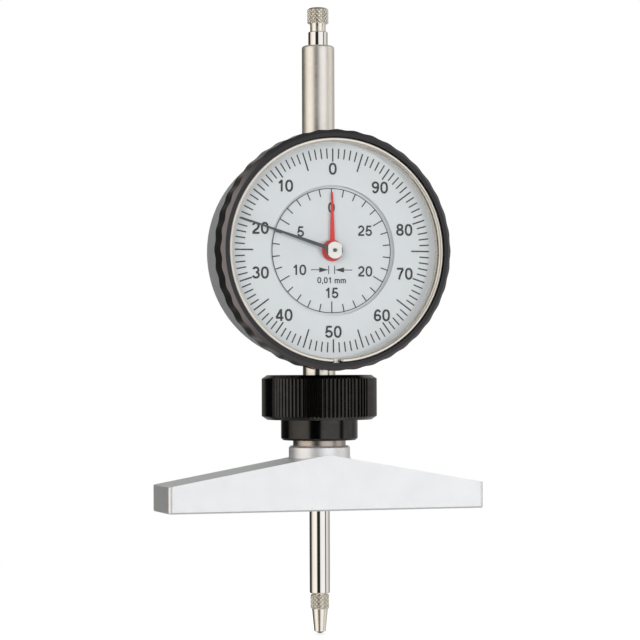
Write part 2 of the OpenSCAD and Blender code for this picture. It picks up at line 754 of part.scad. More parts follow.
// close-wound extension spring: its body stands for the touching coils, with an eye at each end
module return_spring() {
    body_z0 = post_z + hook_r + spring_wire_r;
    body_z1 = pin_z - hook_r - spring_wire_r;
    color("darkgray") {
        translate([spring_x, 0, body_z0]) difference() {
            cylinder(r = spring_r, h = body_z1 - body_z0);
            translate([0, 0, 2 * spring_wire_r])
                cylinder(r = spring_r - 2 * spring_wire_r, h = body_z1 - body_z0 - 4 * spring_wire_r);
        }
        translate([spring_x, 0, post_z]) rotate([90, 0, 0]) rotate_extrude()
            translate([hook_r, 0]) circle(r = spring_wire_r + 0.05, $fn = 16);
        translate([spring_x, 0, pin_z]) rotate([0, 90, 0]) rotate_extrude()
            translate([hook_r, 0]) circle(r = spring_wire_r + 0.05, $fn = 16);
    }
}

// flat spiral hairspring of the take-up wheel
module hairspring() {
    turns = 5;
    steps = 24;
    n = turns * steps;
    function at(i, off) =
        let (a = stud_angle + 360 * i / steps,
             r = hairspring_r[0] + (hairspring_r[1] - hairspring_r[0]) * i / n + off)
            [r * cos(a), r * sin(a)];
    color("steelblue") translate([take_up_x, 0, take_up_z]) upright(hairspring_y, hairspring_h)
        polygon([for (i = [0:n]) at(i, 0), for (i = [n:-1:0]) at(i, hairspring_w)]);
}

// the stud is slit for the outer end of the hairspring
module hairspring_stud() {
    slit = 0.04;
    color("goldenrod") difference() {
        bar_y(stud_x, stud_z, hairspring_y, bridge_plate_y + bridge_plate_t, stud_d);
        translate([take_up_x, 0, take_up_z]) upright(hairspring_y - 0.1, hairspring_h + 0.15) difference() {
            circle(r = hairspring_r[1] + hairspring_w + slit, $fn = 64);
            circle(r = hairspring_r[1] - slit, $fn = 64);
        }
    }
}

module inner_dial() {
    color([0.84, 0.87, 0.88]) difference() {
        translate([0, 0, dial_z]) upright(inner_dial_y, dial_t) circle(r = inner_dial_r, $fn = 96);
        bar_y(0, dial_z, inner_dial_y - 1, inner_dial_y + 1, 2.4);
    }
}

// ---- bezel ----

module bezel() {
    r = bezel_d / 2;
    steps = 8;
    ledge_y = dial_y + dial_t;
    color([0.13, 0.14, 0.16]) difference() {
        intersection() {
            translate([0, 0, dial_z]) upright(front_y, bezel_t) polygon([
                for (i = [0:bezel_lobes * steps - 1])
                    let (a = i * 360 / (bezel_lobes * steps), q = r - lobe_h / 2 * (1 - cos(bezel_lobes * a)))
                        [q * cos(a), q * sin(a)]
            ]);
            turned_y([
                [0, front_y], [r - bezel_chamfer, front_y], [r + 0.1, front_y + bezel_chamfer + 0.1],
                [r + 0.1, bezel_back_y], [0, bezel_back_y]
            ]);
        }
        turned_y([
            [0, front_y - 1], [crystal_r + fit, front_y - 1], [crystal_r + fit, ledge_y],
            [bezel_bore_r, ledge_y], [bezel_bore_r, snap_y - snap_wire_r - 0.1],
            [neck_r + snap_wire_r + 0.12, snap_y - snap_wire_r - 0.1],
            [neck_r + snap_wire_r + 0.12, snap_y + snap_wire_r + 0.1],
            [bezel_bore_r, snap_y + snap_wire_r + 0.1], [bezel_bore_r, bezel_back_y + 1],
            [0, bezel_back_y + 1]
        ]);
        translate([0, 0, dial_z]) rotate([-90, 0, 0]) rotate_extrude($fn = 96)
            translate([ring_r, ring_y]) circle(r = ring_wire_d / 2 + fit, $fn = 24);
    }
}

module outer_dial() {
    color([0.84, 0.87, 0.88]) translate([0, 0, dial_z]) upright(dial_y, dial_t) difference() {
        circle(r = crystal_r - fit, $fn = 96);
        circle(d = dial_opening_d, $fn = 96);
    }
}

module dial_spacer() {
    r = crystal_r - fit;
    color("antiquewhite") turned_y([
        [r - spacer_w, crystal_y + crystal_t], [r, crystal_y + crystal_t], [r, dial_y], [r - spacer_w, dial_y]
    ]);
}

module crystal() {
    color([0.9, 0.95, 1, 0.3]) turned_y([
        [0, crystal_y], [crystal_r - fit, crystal_y], [crystal_r - fit, crystal_y + crystal_t],
        [0, crystal_y + crystal_t]
    ]);
}

module retaining_ring() {
    wire_r = ring_wire_d / 2;
    half_gap = (ring_gap / 2 + wire_r) / ring_r * 180 / PI;
    color("antiquewhite") translate([0, 0, dial_z]) {
        rotate([-90, 0, 0]) rotate([0, 0, 90 + half_gap])
            rotate_extrude(angle = 360 - 2 * half_gap, $fn = 96)
                translate([ring_r, ring_y]) circle(r = wire_r, $fn = 24);
        for (s = [-1, 1])
            translate([s * ring_r * sin(half_gap), ring_y, -ring_r * cos(half_gap)])
                sphere(r = 0.93 * wire_r, $fn = 24);
    }
}

// ---- spindle ----

module spindle() {
    r = spindle_d / 2;
    edge = 0.2;
    teeth_z0 = rack_top - rack_teeth * rack_pitch;
    gap_root = rack_line_x + 1.2 * rack_m;
    color("silver") difference() {
        turned_z([
            [0, spindle_bottom], [r - edge, spindle_bottom], [r, spindle_bottom + edge],
            [r, upper_z], [upper_d / 2, upper_z + 0.1], [upper_d / 2, spindle_top - edge],
            [upper_d / 2 - edge, spindle_top], [0, spindle_top]
        ]);
        // the gaps of the rack: one stands level with each gap centre that the pinion's phase asks for
        upright(-r, 2 * r) polygon([
            [-r - 1, teeth_z0 - 1], [rack_face_x, teeth_z0 - 1],
            for (i = [0:rack_teeth - 1])
                let (c = rack_gap_z(i, teeth_z0))
                    for (s = [[-0.37, 0], [-0.23, 1], [0.23, 1], [0.37, 0]])
                        [s[1] == 0 ? rack_face_x : gap_root, c + s[0] * rack_pitch],
            [rack_face_x, rack_top + 1], [-r - 1, rack_top + 1]
        ]);
        bar_x(pin_z, -0.5, r + 1, guide_pin_d + 2 * fit);
        translate([0, 0, spindle_bottom - 1]) cylinder(r = thread_r + fit, h = thread_hole_l + 1);
        translate([0, 0, spindle_top - thread_hole_l]) cylinder(r = thread_r + fit, h = thread_hole_l + 1);
    }
}

// height of gap i of the rack, so that a gap faces a pinion tooth at rest
function rack_gap_z(i, z0) =
    let (first = arbor_z + rack_pinion_r * rack_pinion_phase * PI / 180,
         k = ceil((z0 + 0.4 * rack_pitch - first) / rack_pitch))
        first + (k + i) * rack_pitch;

// a round bar along X from x0 to x1 on the spindle's axis at height z
module bar_x(z, x0, x1, d) {
    translate([x0, 0, z]) rotate([0, 90, 0]) cylinder(d = d, h = x1 - x0);
}

module guide_pin() {
    color("darkgray") bar_x(pin_z, -0.5 + fit, pin_tip_x, guide_pin_d);
}

module lifting_cap() {
    r = cap_d / 2;
    top = spindle_top + cap_neck_l + cap_l;
    round_r = 0.7;
    color([0.86, 0.82, 0.72]) turned_z([
        [0, spindle_top - thread_hole_l + 0.4], [thread_r, spindle_top - thread_hole_l + 0.4],
        [thread_r, spindle_top], [cap_neck_d / 2, spindle_top],
        [cap_neck_d / 2, spindle_top + cap_neck_l], [r - 0.2, spindle_top + cap_neck_l],
        [r, spindle_top + cap_neck_l + 0.2],
        for (i = [0:6])
            let (a = i * 15) [r - round_r * (1 - cos(a)), top - round_r * (1 - sin(a))],
        [0, top]
    ]);
}

module contact_point() {
    gap = 0.3;
    z0 = -travel + ball_d / 2 - sqrt(pow(ball_d / 2, 2) - pow(point_cone_d2 / 2 - 0.35, 2));
    z1 = spindle_bottom - gap;
    z2 = z1 - point_collar_l;
    edge = 0.25;
    color([0.86, 0.82, 0.72]) difference() {
        turned_z([
            [0, spindle_bottom + thread_hole_l - 0.4], [thread_r, spindle_bottom + thread_hole_l - 0.4],
            [thread_r, z1],
            [point_collar_d / 2 - edge, z1], [point_collar_d / 2, z1 - edge],
            [point_collar_d / 2, z2 + edge], [point_collar_d / 2 - edge, z2], [point_cone_d1 / 2, z2],
            [point_cone_d2 / 2, z0], [0, z0]
        ]);
        translate([0, 0, -travel + ball_d / 2]) sphere(d = ball_d + 0.02, $fn = 48);
    }
}

module contact_ball() {
    color([0.35, 0.35, 0.37]) translate([0, 0, -travel + ball_d / 2]) sphere(d = ball_d, $fn = 48);
}

// ---- gear train ----

module rack_arbor() {
    y0 = front_plate_y + 0.1;
    y1 = rear_plate_y + plate_t - 0.1;
    color("silver") {
        bar_y(arbor_x, arbor_z, y0, y1, pivot_d);
        bar_y(arbor_x, arbor_z, front_plate_y + plate_t + 0.15, rear_plate_y - 0.15, arbor_d);
        translate([arbor_x, 0, arbor_z]) upright(-pinion_half_w, 2 * pinion_half_w)
            polygon(gear_points(rack_pinion_z, rack_m, rack_pinion_phase));
    }
}

module main_gear() {
    color("goldenrod") difference() {
        wheel(arbor_x, arbor_z, main_gear_y, wheel_t, main_z, gear_m, main_phase, arbor_d + 2 * fit);
        windows(arbor_x, arbor_z, main_gear_y, wheel_t, 5.4, 5, 5);
    }
}

module counter_pinion() {
    color("goldenrod") wheel(arbor_x, arbor_z, counter_wheel_y - 0.2, 0.9, counter_pinion_z, counter_m,
                             counter_pinion_phase, arbor_d + 2 * fit);
}

module centre_arbor() {
    leaf_y0 = main_gear_y - 0.3;
    leaf_y1 = take_up_y + wheel_t + 0.3;
    color("silver") {
        bar_y(0, dial_z, pointer_y - 0.35, bridge_plate_y + 0.7, pivot_d);
        translate([0, 0, dial_z]) upright(leaf_y0, leaf_y1 - leaf_y0)
            polygon(gear_points(centre_z, gear_m, centre_phase));
    }
}

// a tapering hand in the dial's plane, from its hub at the origin out to l along +X
module hand(l, w0, w1) {
    polygon([[0, -w0 / 2], [l, -w1 / 2], [l, w1 / 2], [0, w0 / 2]]);
}

module pointer() {
    color([0.15, 0.15, 0.15]) difference() {
        union() {
            translate([0, 0, dial_z]) upright(pointer_y, blade_t) union() {
                rotate(pointer_angle) hand(pointer_l, pointer_w, pointer_tip_w);
                circle(r = hub_r);
            }
            bar_y(0, dial_z, pointer_y, pointer_y + 0.7, 2 * hub_r - 1.6);
        }
        bar_y(0, dial_z, pointer_y - 1, pointer_y + 1, pivot_d + 2 * fit);
    }
}

// a disc with two flats, countersunk round the arbor's end
module pointer_cap() {
    flat_at = 1.72;
    sink_d = pivot_d + 0.5;
    color("antiquewhite") difference() {
        translate([0, 0, dial_z]) upright(pointer_y - cap_t, cap_t) difference() {
            intersection() {
                circle(r = hub_r - 0.03);
                square([2 * flat_at, 4 * hub_r], center = true);
            }
            circle(d = pivot_d + 2 * fit);
        }
        bar_y(0, dial_z, pointer_y - cap_t - 1, pointer_y - cap_t / 3, sink_d);
    }
}

module counter_tube() {
    color("silver") difference() {
        union() {
            bar_y(0, dial_z, hand_y, counter_wheel_y + 0.4, counter_tube_d);
            bar_y(0, dial_z, counter_wheel_y + 0.4, counter_wheel_y + 1, counter_tube_d + 1);
        }
        bar_y(0, dial_z, hand_y - 1, counter_wheel_y + 2, pivot_d + 2 * run);
    }
}

module counter_wheel() {
    color("goldenrod") difference() {
        wheel(0, dial_z, counter_wheel_y, 0.4, counter_z, counter_m, counter_phase,
              counter_tube_d + 2 * fit);
        windows(0, dial_z, counter_wheel_y, 0.4, 4.4, 4, 5);
    }
}

module counter_hand() {
    color([0.8, 0.1, 0.1]) difference() {
        translate([0, 0, dial_z]) upright(hand_y, blade_t) union() {
            rotate(counter_angle) hand(counter_hand_l, hand_w, hand_tip_w);
            circle(r = hand_hub_r);
        }
        bar_y(0, dial_z, hand_y - 1, hand_y + 1, counter_tube_d + 2 * fit);
    }
}

module take_up_arbor() {
    color("silver") {
        bar_y(take_up_x, take_up_z, front_plate_y + 0.1, bridge_plate_y + 0.7, pivot_d);
        bar_y(take_up_x, take_up_z, front_plate_y + plate_t + 0.15, take_up_y + wheel_t, arbor_d - 0.2);
    }
}

module take_up_wheel() {
    color("goldenrod") difference() {
        wheel(take_up_x, take_up_z, take_up_y, wheel_t, main_z, gear_m, take_up_phase,
              arbor_d - 0.2 + 2 * fit);
        windows(take_up_x, take_up_z, take_up_y, wheel_t, 5.4, 5, 5);
    }
}

module hairspring_collet() {
    color("goldenrod") difference() {
        bar_y(take_up_x, take_up_z, take_up_y + wheel_t, hairspring_y + hairspring_h, 2);
        bar_y(take_up_x, take_up_z, take_up_y, hairspring_y + 1, pivot_d + 2 * fit);
    }
}

bridge();
clamp_bush();
split_collet();
clamp_nut();
case();
back_cover();
back_cover_screws();
stem();
guard_tube();
lower_spindle_bush();
upper_spindle_bush();
front_plate();
front_plate_screws();
pillars();
pillar_screws();
rear_plate();
arbor_bridge();
arbor_bridge_posts();
guide_rail();
guide_rail_screws();
spring_post();
return_spring();
hairspring();
hairspring_stud();
inner_dial();
bezel_snap_ring();
bezel();
outer_dial();
dial_spacer();
crystal();
retaining_ring();
spindle();
guide_pin();
lifting_cap();
contact_point();
contact_ball();
rack_arbor();
main_gear();
counter_pinion();
centre_arbor();
pointer();
pointer_cap();
counter_tube();
counter_wheel();
counter_hand();
take_up_arbor();
take_up_wheel();
hairspring_collet();
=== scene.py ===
"""Dial depth gauge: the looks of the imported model, in its own frame (metres, +Z up, the dial faces -Y)."""
import json
import math

import bpy
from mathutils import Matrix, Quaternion, Vector

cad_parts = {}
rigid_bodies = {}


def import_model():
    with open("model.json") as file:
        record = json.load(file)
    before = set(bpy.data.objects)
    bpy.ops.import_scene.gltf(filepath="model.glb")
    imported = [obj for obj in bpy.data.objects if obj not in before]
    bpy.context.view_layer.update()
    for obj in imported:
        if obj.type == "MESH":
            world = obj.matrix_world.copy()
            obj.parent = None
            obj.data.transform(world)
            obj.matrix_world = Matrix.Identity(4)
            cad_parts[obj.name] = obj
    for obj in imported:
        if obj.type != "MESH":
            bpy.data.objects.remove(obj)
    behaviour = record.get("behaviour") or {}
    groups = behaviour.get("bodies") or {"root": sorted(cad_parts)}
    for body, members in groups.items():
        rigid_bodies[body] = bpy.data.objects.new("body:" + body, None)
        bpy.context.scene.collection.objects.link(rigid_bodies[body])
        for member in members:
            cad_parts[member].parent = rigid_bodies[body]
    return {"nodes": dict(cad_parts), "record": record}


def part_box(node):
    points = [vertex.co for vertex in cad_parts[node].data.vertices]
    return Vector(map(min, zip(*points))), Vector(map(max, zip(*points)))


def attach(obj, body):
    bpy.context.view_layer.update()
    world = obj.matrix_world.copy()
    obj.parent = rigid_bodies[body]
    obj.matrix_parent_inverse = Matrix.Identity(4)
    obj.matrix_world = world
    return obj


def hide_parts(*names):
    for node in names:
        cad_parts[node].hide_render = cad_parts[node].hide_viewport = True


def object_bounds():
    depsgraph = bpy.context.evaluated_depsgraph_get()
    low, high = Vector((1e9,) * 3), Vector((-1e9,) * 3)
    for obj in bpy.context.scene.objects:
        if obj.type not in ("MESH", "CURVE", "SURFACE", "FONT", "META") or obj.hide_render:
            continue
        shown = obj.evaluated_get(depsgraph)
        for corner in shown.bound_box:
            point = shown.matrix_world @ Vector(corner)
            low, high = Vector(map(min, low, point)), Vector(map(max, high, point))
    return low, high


for thing in list(bpy.data.objects):
    bpy.data.objects.remove(thing)

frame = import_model()
cad_box = [list(corner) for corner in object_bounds()]
nodes = frame["nodes"]

MM = 0.001

# ---- places, read from the frame ----

DIAL_LOW, DIAL_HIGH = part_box("outer_dial")
DIAL_X = (DIAL_LOW.x + DIAL_HIGH.x) / 2
DIAL_Z = (DIAL_LOW.z + DIAL_HIGH.z) / 2
DIAL_FRONT = DIAL_LOW.y
INNER_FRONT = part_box("inner_dial")[0].y

# ---- materials ----


class Material:
    """A node material with one Principled shader, and short ways to add nodes and links."""

    def __init__(self, name, color, metallic=0.0, roughness=0.5, specular=0.5):
        self.data = bpy.data.materials.new(name)
        self.data.use_nodes = True
        self.tree = self.data.node_tree
        self.shader = self.tree.nodes["Principled BSDF"]
        self.color = color
        self.set("Base Color", (*color, 1))
        self.set("Metallic", metallic)
        self.set("Roughness", roughness)
        self.set("Specular IOR Level", specular)

    def set(self, socket, value):
        self.shader.inputs[socket].default_value = value

    def node(self, kind, **values):
        made = self.tree.nodes.new(kind)
        for key, value in values.items():
            if hasattr(made, key):
                setattr(made, key, value)
            else:
                made.inputs[key.replace("_", " ")].default_value = value
        return made

    def link(self, source, target):
        self.tree.links.new(source, target)

    def noise(self, scale, stretch=(1, 1, 1), detail=3.0, roughness=0.5):
        """Noise in the frame's metres; scale is the number of grains per metre."""
        coord = self.node("ShaderNodeTexCoord")
        mapping = self.node("ShaderNodeMapping")
        mapping.inputs["Scale"].default_value = stretch
        noise = self.node("ShaderNodeTexNoise")
        noise.inputs["Scale"].default_value = scale
        noise.inputs["Detail"].default_value = detail
        noise.inputs["Roughness"].default_value = roughness
        self.link(coord.outputs["Object"], mapping.inputs["Vector"])
        self.link(mapping.outputs["Vector"], noise.inputs["Vector"])
        return noise.outputs["Fac"]

    def spread(self, factor, low, high):
        """The factor's middle half, stretched to run from low to high."""
        ranged = self.node("ShaderNodeMapRange")
        ranged.inputs["From Min"].default_value = 0.25
        ranged.inputs["From Max"].default_value = 0.75
        ranged.inputs["To Min"].default_value = low
        ranged.inputs["To Max"].default_value = high
        self.link(factor, ranged.inputs["Value"])
        return ranged.outputs["Result"]

    def vary_color(self, factor, dark, light):
        """The base colour times dark to light, by factor."""
        mix = self.node("ShaderNodeMix", data_type="RGBA")
        mix.inputs["A"].default_value = (*[c * dark for c in self.color], 1)
        mix.inputs["B"].default_value = (*[min(1, c * light) for c in self.color], 1)
        self.link(self.spread(factor, 0, 1), mix.inputs["Factor"])
        self.link(mix.outputs["Result"], self.shader.inputs["Base Color"])

    def vary_roughness(self, factor, low, high):
        self.link(self.spread(factor, low, high), self.shader.inputs["Roughness"])

    def bump(self, factor, height):
        """Bump whose full height is given in metres."""
        bump = self.node("ShaderNodeBump")
        bump.inputs["Strength"].default_value = 1
        bump.inputs["Distance"].default_value = height
        self.link(factor, bump.inputs["Height"])
        self.link(bump.outputs["Normal"], self.shader.inputs["Normal"])


def ground_steel(name, color, roughness, marks):
    """Round stock, ground or polished: fine rings about the Z axis."""
    made = Material(name, color, metallic=1, roughness=roughness)
    rings = made.noise(9000, stretch=(0.02, 0.02, 1), detail=2)
    made.vary_roughness(rings, roughness * 0.75, roughness * 1.3)
    made.vary_color(made.noise(160), 0.97, 1.02)
    made.bump(rings, marks)
    return made.data


def knurled_nickel(name, color, roughness):
    """Nickel plate, darker brown down in the knurl's grooves: painted shade, partly brown patina; the points
    keep the nickel's colour.
    """
    made = Material(name, color, metallic=1, roughness=roughness)
    height = made.node("ShaderNodeAttribute", attribute_name="height")
    groove_shade_and_patina = made.node("ShaderNodeMapRange")
    groove_shade_and_patina.inputs["From Min"].default_value = 0.02
    groove_shade_and_patina.inputs["From Max"].default_value = 0.3
    made.link(height.outputs["Fac"], groove_shade_and_patina.inputs["Value"])
    # painted shade in the grooves, partly brown patina: the low height of the knurl gets the dark brown
    # colour
    mix = made.node("ShaderNodeMix", data_type="RGBA")
    mix.inputs["A"].default_value = (0.30, 0.26, 0.20, 1)
    mix.inputs["B"].default_value = (*color, 1)
    made.link(groove_shade_and_patina.outputs["Result"], mix.inputs["Factor"])
    made.link(mix.outputs["Result"], made.shader.inputs["Base Color"])
    made.vary_roughness(made.noise(900, detail=2), roughness * 0.85, roughness * 1.2)
    return made.data


def satin_steel(name, color, roughness):
    """Fine-blasted, chromed steel: tiny grain in every direction."""
    made = Material(name, color, metallic=0.8, roughness=roughness)
    grain = made.noise(6500, detail=2)
    made.vary_roughness(made.noise(300), roughness * 0.88, roughness * 1.1)
    made.vary_color(made.noise(45), 0.985, 1.01)
    made.bump(grain, 0.0000012)
    return made.data


def turned_metal(name, color, roughness):
    """Small turned or machined parts."""
    made = Material(name, color, metallic=1, roughness=roughness)
    marks = made.noise(4200, detail=2)
    made.vary_roughness(marks, roughness * 0.7, roughness * 1.35)
    made.vary_color(made.noise(380), 0.92, 1.05)
    made.bump(marks, 0.000001)
    return made.data


def black_finish(name, color, metallic, roughness, grain_height):
    """Black anodising or satin lacquer on metal: even, with a fine tooth and faint handling marks."""
    made = Material(name, color, metallic=metallic, roughness=roughness)
    grain = made.noise(7000, detail=2)
    made.vary_roughness(made.noise(240), roughness * 0.85, roughness * 1.2)
    made.vary_color(made.noise(500), 0.85, 1.2)
    made.bump(grain, grain_height)
    return made.data


def bezel_black_with_painted_highlight(name, color, chamfer_highlight_color, roughness):
    """Black finish on the bezel, with the chamfers painted a shade lighter as a highlight."""
    made = Material(name, color, metallic=1, roughness=roughness)
    grain = made.noise(7000, detail=2)
    made.vary_roughness(made.noise(240), roughness * 0.85, roughness * 1.2)
    made.bump(grain, 0.0000008)
    coord = made.node("ShaderNodeTexCoord")
    axes = made.node("ShaderNodeSeparateXYZ")
    made.link(coord.outputs["Normal"], axes.inputs["Vector"])
    facing = made.node("ShaderNodeMath", operation="ABSOLUTE")
    made.link(axes.outputs["Y"], facing.inputs[0])
    slanted = made.node("ShaderNodeMath", operation="COMPARE")
    slanted.inputs[1].default_value, slanted.inputs[2].default_value = 0.7, 0.2
    made.link(facing.outputs[0], slanted.inputs[0])
    # painted highlight: faces slanted about 45 degrees to the front, the chamfers, get the lighter colour
    mix = made.node("ShaderNodeMix", data_type="RGBA")
    mix.inputs["A"].default_value = (*color, 1)
    mix.inputs["B"].default_value = (*chamfer_highlight_color, 1)
    made.link(slanted.outputs[0], mix.inputs["Factor"])
    made.link(mix.outputs["Result"], made.shader.inputs["Base Color"])
    return made.data


def grey_satin(name, color, roughness):
    """Satin grey enamel on the die-cast case."""
    made = Material(name, color, metallic=0, roughness=roughness)
    made.vary_color(made.noise(120), 0.96, 1.04)
    made.vary_roughness(made.noise(900), roughness * 0.85, roughness * 1.15)
    made.bump(made.noise(5200, detail=2), 0.0000015)
    return made.data


def dial_enamel(name, color, roughness):
    """Matt printed dial: an even ground with the faintest mottle."""
    made = Material(name, color, metallic=0, roughness=roughness, specular=0.35)
    made.vary_color(made.noise(260), 0.985, 1.015)
    made.vary_roughness(made.noise(2500), roughness * 0.9, roughness * 1.1)
    made.bump(made.noise(9000, detail=1), 0.0000004)
    return made.data


def printing(name, color):
    """Printing ink and matt paint on the hands."""
    made = Material(name, color, metallic=0, roughness=0.5, specular=0.2)
    made.vary_color(made.noise(3500), 0.85, 1.15)
    made.vary_roughness(made.noise(4000), 0.42, 0.58)
    return made.data


def clear_window(name):
    """The crystal: light passes straight through, and both sides of each face shine, more at a slant."""
    made = bpy.data.materials.new(name)
    made.use_nodes = True
    tree = made.node_tree
    tree.nodes.remove(tree.nodes["Principled BSDF"])
    clear = tree.nodes.new("ShaderNodeBsdfTransparent")
    clear.inputs["Color"].default_value = (0.985, 0.99, 0.99, 1)
    shine = tree.nodes.new("ShaderNodeBsdfGlossy")
    shine.inputs["Roughness"].default_value = 0.03
    slant = tree.nodes.new("ShaderNodeLayerWeight")
    slant.inputs["Blend"].default_value = 0.5
    steep = tree.nodes.new("ShaderNodeMath")
    steep.operation = "POWER"
    steep.inputs[1].default_value = 5
    tree.links.new(slant.outputs["Facing"], steep.inputs[0])
    fresnel = tree.nodes.new("ShaderNodeMapRange")
    fresnel.inputs["To Min"].default_value = 0.035
    tree.links.new(steep.outputs[0], fresnel.inputs["Value"])
    mix = tree.nodes.new("ShaderNodeMixShader")
    tree.links.new(fresnel.outputs["Result"], mix.inputs["Fac"])
    tree.links.new(clear.outputs["BSDF"], mix.inputs[1])
    tree.links.new(shine.outputs["BSDF"], mix.inputs[2])
    tree.links.new(mix.outputs["Shader"], tree.nodes["Material Output"].inputs["Surface"])
    return made


LOOKS = {
    "bridge_steel": satin_steel("bridge satin", (0.92, 0.93, 0.94), 0.42),
    # the bush's dark base colour is painted shade, where the flange sits under the black nut
    "bush_steel": ground_steel("bush steel in painted shade", (0.56, 0.49, 0.43), 0.3, 0.0000008),
    # the cream tint of this steel is a painted reflection of warm light
    "ground_steel": ground_steel("ground steel", (0.90, 0.85, 0.79), 0.17, 0.0000005),
    "screw_steel": turned_metal("screw steel", (0.72, 0.72, 0.71), 0.25),
    "tool_steel": turned_metal("tool steel", (0.56, 0.56, 0.57), 0.3),
    "spring_steel": turned_metal("spring steel", (0.42, 0.45, 0.52), 0.25),
    "ball_steel": ground_steel("ball steel", (0.38, 0.36, 0.33), 0.06, 0.0000001),
    "nickel_plated": ground_steel("nickel", (0.90, 0.85, 0.76), 0.09, 0.0000002),
    "nickel_wire": ground_steel("nickel wire", (0.95, 0.89, 0.80), 0.36, 0.0000002),
    "black_anodised": black_finish("black anodised", (0.055, 0.053, 0.051), 1, 0.15, 0.0000004),
    # the second colour is a painted highlight on the bezel's chamfers
    "bezel_black": bezel_black_with_painted_highlight("bezel black", (0.047, 0.048, 0.051), (0.19, 0.175, 0.18), 0.24),
    "case_grey": grey_satin("case grey", (0.27, 0.28, 0.28), 0.38),
    "pointer_black": printing("black print", (0.014, 0.015, 0.017)),
    "hand_red": printing("red paint", (0.60, 0.018, 0.016)),
    "dial_print": dial_enamel("dial ground", (0.605, 0.63, 0.65), 0.5),
    "cream_plastic": ground_steel("spacer", (0.86, 0.80, 0.72), 0.3, 0.0000004),
    "brass": turned_metal("brass", (0.78, 0.57, 0.26), 0.28),
    "bronze": turned_metal("bronze", (0.62, 0.42, 0.22), 0.3),
    "crystal": clear_window("crystal"),
}

# nodes whose finish differs from the rest of their slot
NODE_LOOKS = {
    "spindle": ground_steel("polished steel", (0.93, 0.90, 0.87), 0.045, 0.0000001),
    # the guard tube's cream tint is a painted reflection of warm light
    "guard_tube": ground_steel("satin steel", (1.0, 0.95, 0.88), 0.4, 0.0000005),
    "pointer": printing("pointer paint", (0.044, 0.051, 0.057)),
    "pointer_cap": turned_metal("polished cap", (1.0, 0.97, 0.90), 0.3),
    # the arbor's near-black brown is painted shade, standing for the shadow down in the cap's hole
    "centre_arbor": turned_metal("arbor in painted shade", (0.13, 0.10, 0.07), 0.3),
}


def dress(piece, material):
    piece.data.materials.clear()
    piece.data.materials.append(material)


for part in frame["record"]["subparts"]:
    dress(nodes[part["node"]], LOOKS[part["material_slot"]])
for name, look in NODE_LOOKS.items():
    dress(nodes[name], look)

# ---- mesh helpers ----


def mesh_piece(name, points, faces, body, slot, smooth_angle=None, look=None):
    """A piece from points in metres, riding on a body; look replaces the slot's material."""
    data = bpy.data.meshes.new(name)
    data.from_pydata(points, [], faces)
    data.validate()
    piece = bpy.data.objects.new(name, data)
    bpy.context.scene.collection.objects.link(piece)
    if smooth_angle is not None:
        data.shade_smooth()
        data.set_sharp_from_angle(angle=math.radians(smooth_angle))
    dress(piece, look or LOOKS[slot])
    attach(piece, body)
    return piece


class Print:
    """Flat printing on a dial, drawn in millimetres from the dial's centre, x to the right and z up."""

    THICK = 0.02
    STEP = 0.0004          # from one layer to the next, so that bands that cross don't share a face
    LAYERS = 7
    WIDEN = 1.035          # the figures' width beyond the drawings below

    def __init__(self, name, front, body, slot="pointer_black"):
        self.name = name
        self.front = front / MM
        self.body = body
        self.slot = slot
        self.points = []
        self.faces = []

    def strip(self, left, right):
        """A flat band between two lines of as many points each."""
        y = self.front - self.THICK - self.STEP * (len(self.faces) % self.LAYERS)
        first = len(self.points)
        count = len(left)
        for line in (left, right):
            for depth in (y, self.front):
                self.points += [(p[0], depth, p[1]) for p in line]
        for i in range(count - 1):
            a, b, c, d = (first + k * count + i for k in range(4))
            self.faces += [
                (a, a + 1, c + 1, c), (b, d, d + 1, b + 1), (a, b, b + 1, a + 1), (c, c + 1, d + 1, d)
            ]
        a, b, c, d = (first + k * count for k in range(4))
        self.faces.append((a, c, d, b))
        a, b, c, d = (first + k * count + count - 1 for k in range(4))
        self.faces.append((a, b, d, c))

    def stroke(self, line, width):
        """A band of even width along a line of points."""
        left, right = [], []
        for i, p in enumerate(line):
            before = line[max(i - 1, 0)]
            after = line[min(i + 1, len(line) - 1)]
            into = Vector((p[0] - before[0], p[1] - before[1]))
            out = Vector((after[0] - p[0], after[1] - p[1]))
            into = into.normalized() if into.length else out.normalized()
            out = out.normalized() if out.length else into
            along = (into + out).normalized()
            reach = width / 2 / max(0.5, along.dot(out))
            left.append((p[0] - along.y * reach, p[1] + along.x * reach))
            right.append((p[0] + along.y * reach, p[1] - along.x * reach))
        self.strip(left, right)

    def radial(self, turn, r0, r1, width):
        """A bar from radius r0 to r1, turned counter-clockwise from the top by turn degrees."""
        a = math.radians(90 + turn)
        self.stroke([(r * math.cos(a), r * math.sin(a)) for r in (r0, r1)], width)

    def ring(self, radius, width, steps=180):
        angles = [2 * math.pi * i / steps for i in range(steps + 1)]
        r0, r1 = radius - width / 2, radius + width / 2
        self.strip([(r1 * math.cos(a), r1 * math.sin(a)) for a in angles],
                   [(r0 * math.cos(a), r0 * math.sin(a)) for a in angles])

    def text(self, words, x, z, height, weight):
        """Words set in the plain figures below, centred on x, z."""
        widths = [GLYPHS[c][0] for c in words]
        at = x - sum(widths) * height * self.WIDEN / 2
        for c, width in zip(words, widths):
            middle = at + width * height * self.WIDEN / 2
            for line in GLYPHS[c][1]:
                self.stroke([(middle + px * height * self.WIDEN, z + (pz - 0.5) * height) for px, pz in line],
                            weight * height)
            at += width * height * self.WIDEN

    def finish(self):
        points = [((DIAL_X / MM + x) * MM, y * MM, (DIAL_Z / MM + z) * MM) for x, y, z in self.points]
        return mesh_piece(self.name, points, self.faces, self.body, self.slot)


